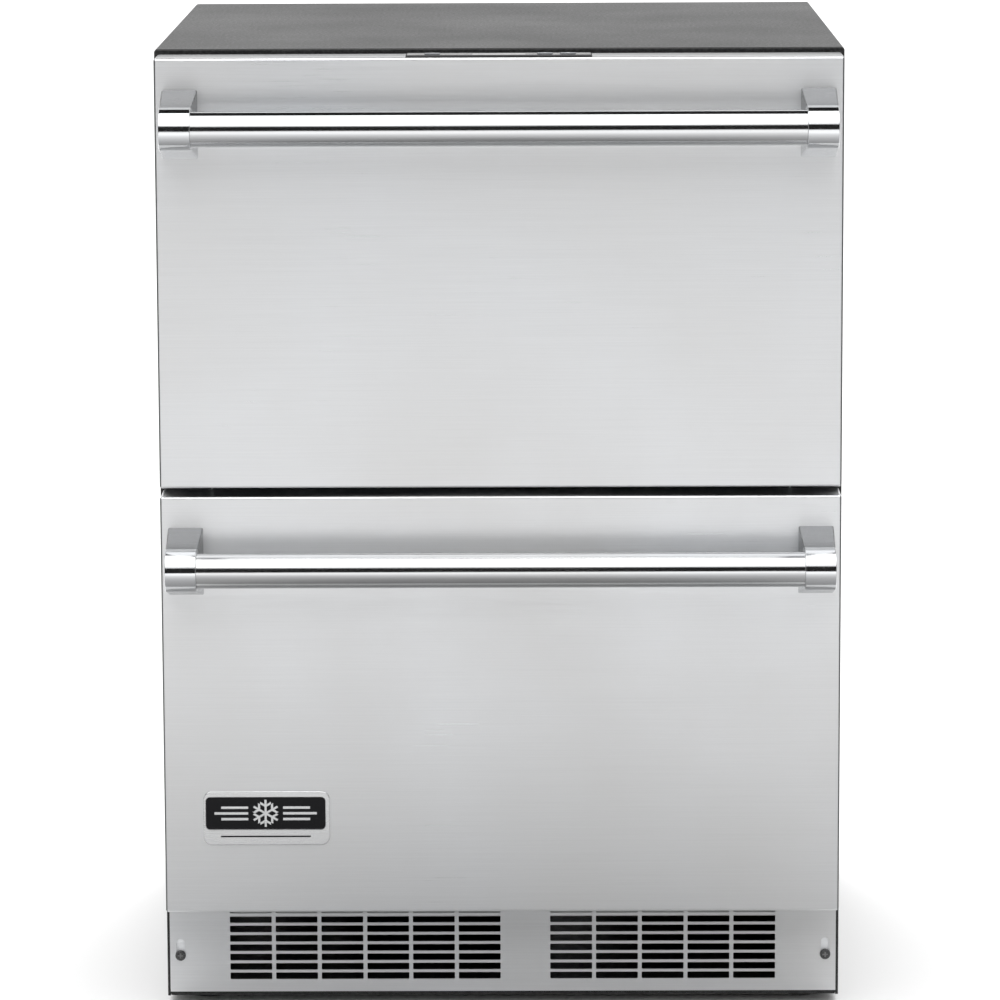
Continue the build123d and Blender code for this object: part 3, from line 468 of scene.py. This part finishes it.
def plate(bm, points, origin, u, v, thick, crown):
    """A thin plate: outline points laid on u and v from origin, raised by thick along u x v, its rim bevelled
    by crown."""
    u, v = Vector(u), Vector(v)
    n = u.cross(v).normalized()
    rings = []
    for inset, height in ((0.0, 0.0), (0.0, thick - crown), (crown, thick)):
        ring = []
        for a, b in points:
            reach = math.hypot(a, b)
            pull = (reach - inset) / reach if reach > inset else 0.0
            ring.append(bm.verts.new(Vector(origin) + u * (a * pull) + v * (b * pull) + n * height))
        rings.append(ring)
    join_rings(bm, rings)


# ---------------------------------------------------------------- badge
PANEL_HALF_WIDE, PANEL_HALF_HIGH, PANEL_CORNER = 53.2 * MM, 14.6 * MM, 3.8 * MM
PANEL_LEFT, PANEL_UP, PANEL_IN = 0.9 * MM, 4.5 * MM, 0.8 * MM
ENAMEL_THICK, ENAMEL_CROWN = 0.35 * MM, 0.12 * MM
FLAKE_REACH, FLAKE_HALF, FLAKE_BRANCH = 12.3 * MM, 0.95 * MM, 4.4 * MM
RULE_START, RULE_STEP, RULE_HALF_HIGH = 15.5 * MM, 5.2 * MM, 1.1 * MM
LONG_RULE, SHORT_RULE = 15.0 * MM, 12.0 * MM
FLAKE_THICK, RULE_THICK, EMBLEM_CROWN, EMBLEM_SUNK = 0.3 * MM, 0.25 * MM, 0.05 * MM, 0.02 * MM
MARGIN_UP, MARGIN_IN = 8.0 * MM, 0.1 * MM
MARGIN_RULE = bar(40.0 * MM, 0.7 * MM)
MARGIN_THICK, MARGIN_CROWN = 0.14 * MM, 0.03 * MM

badge_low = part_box("badge")[0]
badge_mid = centre("badge")
panel_mid = Vector((badge_mid.x - PANEL_LEFT, badge_low.y + PANEL_IN, badge_mid.z + PANEL_UP))


def enamel(bm):
    points = rounded_bar(PANEL_HALF_WIDE, PANEL_HALF_HIGH, PANEL_CORNER)
    plate(bm, points, panel_mid, WIDE, HIGH, ENAMEL_THICK, ENAMEL_CROWN)


def emblem(bm):
    """A plain snowflake between two sets of three rules."""
    on_panel = panel_mid - Vector((0.0, ENAMEL_THICK - EMBLEM_SUNK, 0.0))
    flake = snowflake(FLAKE_REACH, FLAKE_HALF, FLAKE_BRANCH)
    plate(bm, flake, on_panel, WIDE, HIGH, FLAKE_THICK, EMBLEM_CROWN)
    for side in (-1, 1):
        for rise, half_wide in ((-1, SHORT_RULE), (0, LONG_RULE), (1, SHORT_RULE)):
            spot = on_panel + Vector((side * (RULE_START + half_wide), 0.0, rise * RULE_STEP))
            plate(bm, bar(half_wide, RULE_HALF_HIGH), spot, WIDE, HIGH, RULE_THICK, EMBLEM_CROWN)


def lower_rule(bm):
    """A thin dark rule inlaid in the badge's lower margin."""
    spot = Vector((panel_mid.x, badge_low.y + MARGIN_IN, badge_low.z + MARGIN_UP))
    plate(bm, MARGIN_RULE, spot, WIDE, HIGH, MARGIN_THICK, MARGIN_CROWN)


mesh_piece("badge_enamel_panel", enamel, badge_enamel, "lower_drawer")
mesh_piece("badge_emblem", emblem, emblem_metal, "lower_drawer")
mesh_piece("badge_lower_rule", lower_rule, badge_enamel, "lower_drawer")

# ---------------------------------------------------------------- key symbols
INK_THICK, INK_CROWN, INK_SUNK = 0.08 * MM, 0.02 * MM, 0.03 * MM
POWER_INNER, POWER_OUTER = 1.45 * MM, 2.0 * MM
STEM_UP, STEM_HALF_WIDE, STEM_HALF_HIGH = 1.6 * MM, 0.28 * MM, 0.8 * MM
ARROW_REACH = 2.3 * MM


def power_symbol(bm, spot):
    """An open ring with a stem in its gap, towards the cabinet."""
    first, sweep, steps = 125, 290, 28
    angles = [first + sweep * step / steps for step in range(steps + 1)]
    band = [polar(POWER_OUTER, angle) for angle in angles]
    band += [polar(POWER_INNER, angle) for angle in reversed(angles)]
    plate(bm, band, spot, WIDE, DEEP, INK_THICK, INK_CROWN)
    stem = spot + Vector((0.0, STEM_UP, 0.0))
    plate(bm, bar(STEM_HALF_WIDE, STEM_HALF_HIGH), stem, WIDE, DEEP, INK_THICK, INK_CROWN)


def arrow_symbol(bm, spot, way):
    """A triangle that points to the cabinet for way 1, and away from it for way -1."""
    corners = [polar(ARROW_REACH, 90 * way + turn) for turn in (0, 120, 240)]
    plate(bm, corners, spot, WIDE, DEEP, INK_THICK, INK_CROWN)


SYMBOLS = {"power": power_symbol, "down": partial(arrow_symbol, way=-1), "up": partial(arrow_symbol, way=1)}
for key, symbol in SYMBOLS.items():
    middle, top = centre(f"button_{key}"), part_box(f"button_{key}")[1].z
    on_key = Vector((middle.x, middle.y, top - INK_SUNK))
    mesh_piece(f"{key}_key_symbol", partial(symbol, spot=on_key), mark_white, f"{key}_key")


# ---------------------------------------------------------------- screws
def driver_marks(bm):
    """Bright metal in the cross recess of the kick plate's screws, where the driver has bitten."""
    low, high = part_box("grille_screws")
    head = (high.z - low.z) / 2
    recess = cross(half_long=2.15 * MM, half_wide=0.42 * MM)
    deep, thick, crown = 1.45 * MM, 0.9 * MM, 0.05 * MM
    for x in (low.x + head, high.x - head):
        plate(bm, recess, (x, low.y + deep, low.z + head), WIDE, HIGH, thick, crown)


PAN_HEAD = ((4.2, -0.2), (4.2, 0.9), (3.4, 1.8), (1.5, 2.1), (1.2, 1.2))
HEAD_SIDES = 24


def rear_screws(bm):
    """Pan heads with a shallow dish that hold the vented back cover. PAN_HEAD gives each head's radius and
    height off the cover, in mm, from the rim to the dish."""
    low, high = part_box("rear_grille")
    from_side, from_bottom, from_top = 9 * MM, 12 * MM, 9 * MM
    for x in (low.x + from_side, 0.0, high.x - from_side):
        for z in (low.z + from_bottom, high.z - from_top):
            rings = []
            for radius, height in PAN_HEAD:
                around = [polar(radius * MM, 360 * i / HEAD_SIDES) for i in range(HEAD_SIDES)]
                rings.append([bm.verts.new((x - a, high.y + height * MM, z + b)) for a, b in around])
            join_rings(bm, rings)


mesh_piece("kick_plate_screw_marks", driver_marks, screw_steel, "cabinet")
mesh_piece("rear_grille_screws", rear_screws, screw_steel, "cabinet")


# ---------------------------------------------------------------- studio
def soft_floor():
    f = Finish("studio_floor", Roughness=0.7)
    cloud = f.noise(even(0.8), detail=3.0, rough=0.5)
    f.paint(f.blend(f.spread(cloud, 0.0, 1.0), grey(0.80), grey(0.83)))
    return f.material


def disc(bm):
    """Wide enough that its rim is out of every view."""
    bmesh.ops.create_circle(bm, cap_ends=True, segments=96, radius=60.0)


mesh_piece("studio_floor", disc, soft_floor())


def unseen_mesh(name, build, material):
    """A piece of studio gear that only reflections see."""
    gear = mesh_piece(name, build, material)
    for ray in ("camera", "diffuse", "shadow", "transmission"):
        setattr(gear, f"visible_{ray}", False)


def screens(bm):
    """Dark screens. One stands behind the camera and gives polished metal its dark line at eye level. One
    hangs over the cabinet and shades the backs of the handles. One stands in front of it at each side."""
    wide, low, high, away = 7.0, 0.2, 3.2, 6.5
    reach, near, far, over = 0.9, 0.3, 4.0, 3.3
    aside, ahead, behind, foot, tall = 2.6, -3.2, -1.0, 0.02, 2.4
    for corners in (
        [(-wide, -away, low), (wide, -away, low), (wide, -away, high), (-wide, -away, high)],
        [(-reach, near, over), (reach, near, over), (reach, far, over), (-reach, far, over)],
        [(-aside, ahead, foot), (-aside, behind, foot), (-aside, behind, tall), (-aside, ahead, tall)],
        [(aside, ahead, foot), (aside, behind, foot), (aside, behind, tall), (aside, ahead, tall)],
    ):
        bm.faces.new([bm.verts.new(c) for c in corners])


def black_cloth():
    f = Finish("studio_screens", Roughness=1.0)
    f.paint(f.blend(f.noise(even(2.0)), grey(0.002), grey(0.004)))
    return f.material


unseen_mesh("studio_screens", screens, black_cloth())

CARD_NEAR, CARD_FAR = -0.36, -6.4
CARD_LIT = (-4.6, -2.3)


def floor_card(bm):
    """A card just over the floor in front of the cabinet."""
    wide, lift = 4.0, 3 * MM
    bm.faces.new([bm.verts.new(c) for c in
                  ((-wide, CARD_NEAR, lift), (-wide, CARD_FAR, lift), (wide, CARD_FAR, lift),
                   (wide, CARD_NEAR, lift))])


def card_paper():
    """Paper that is bright and glows between the two CARD_LIT lines, and fades to both ends of the card; the
    dim end near the cabinet is a painted shadow of the cabinet.
    """
    f = Finish("studio_card", Roughness=1.0, Emission_Strength=0.3)
    away = f.split(f.place)["Y"]
    # Painted shadow: the card dims towards the cabinet, standing in for the cabinet's shadow on the floor.
    lit = f.math("MULTIPLY", f.spread(away, 1.0, 0.0, within=(CARD_LIT[1], CARD_NEAR)),
                 f.spread(away, 0.0, 1.0, within=(CARD_FAR, CARD_LIT[0])))
    paper = f.spread(f.noise(even(2.0)), 0.96, 1.04)
    f.paint(f.blend(f.math("MULTIPLY", lit, paper), grey(0.34), grey(0.84)))
    f.feed(f.shader.inputs["Emission Color"], f.blend(lit, grey(0.0), grey(1.0)))
    return f.material


unseen_mesh("studio_card", floor_card, card_paper())


def lamp(name, light):
    made = bpy.data.objects.new(name, light)
    scene.collection.objects.link(made)
    return made


softbox = bpy.data.lights.new("ceiling_softbox", "AREA")
softbox.shape = "RECTANGLE"
softbox.size, softbox.size_y, softbox.energy = 9.0, 5.6, 290.0
ceiling = lamp("ceiling_softbox", softbox)
ceiling.location = (0.0, -2.5, 3.4)
ceiling.visible_diffuse = False

skylight = bpy.data.lights.new("rear_skylight", "SUN")
skylight.energy, skylight.angle = 3.6, math.radians(50)
rear = lamp("rear_skylight", skylight)
rear.rotation_euler = (math.radians(-46), 0.0, 0.0)
rear.visible_glossy = False

world = bpy.data.worlds.new("studio")
scene.world = world
world.use_nodes = True
backdrop = world.node_tree.nodes["Background"]
backdrop.inputs["Color"].default_value = grey(1.0)
backdrop.inputs["Strength"].default_value = 1.0
scene.view_settings.view_transform = "Standard"

# ---------------------------------------------------------------- camera
CAMERA_PLACE = (0.025, -4.6, 1.213)
LOOKS_DOWN, LOOKS_LEFT, LEANS = 9.276, 0.371, 0.236
SENSOR, LENS = 36.0, 179.68
SHIFT_RIGHT, SHIFT_UP = 0.003, -0.04

view = bpy.data.cameras.new("camera")
view.sensor_width, view.lens = SENSOR, LENS
view.shift_x, view.shift_y = SHIFT_RIGHT, SHIFT_UP
camera = bpy.data.objects.new("camera", view)
scene.collection.objects.link(camera)
camera.matrix_world = (
    Matrix.Translation(CAMERA_PLACE)
    @ Matrix.Rotation(math.radians(LOOKS_LEFT), 4, "Z")
    @ Matrix.Rotation(math.radians(90 - LOOKS_DOWN), 4, "X")
    @ Matrix.Rotation(math.radians(-LEANS), 4, "Z")
)
scene.camera = camera
